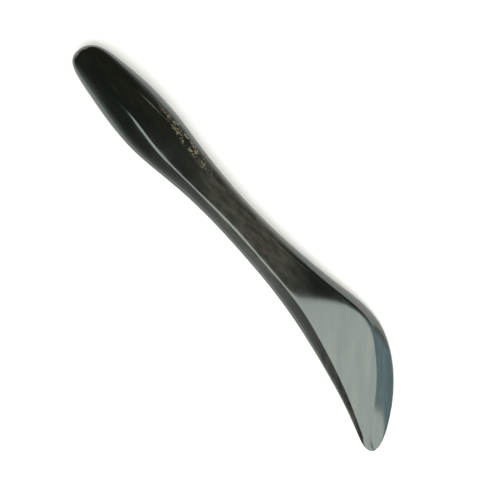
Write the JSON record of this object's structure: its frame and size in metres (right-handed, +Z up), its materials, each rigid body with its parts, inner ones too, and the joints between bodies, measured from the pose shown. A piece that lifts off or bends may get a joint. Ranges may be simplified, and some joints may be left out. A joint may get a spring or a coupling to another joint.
{
  "type": "gua sha scraper",
  "caption": "Hand-held massage scraper carved from horn: thick oval handle, slimmer neck and fin-shaped blade with a thick spine and a thin convex edge.",
  "frame": {"origin": "centre of the bounding box in plan, at the height of the undersides of handle and blade that the scraper lies on", "axes": "+X from the butt of the handle to the tip of the blade, +Y from the straight spine towards the convex scraping edge, +Z up, out of the broad face with the crest"},
  "size_m": [0.16, 0.0322, 0.0129],
  "materials": {
    "horn": null
  },
  "bodies": {
    "root": {"horn_scraper": "horn"}
  },
  "joints": []
}
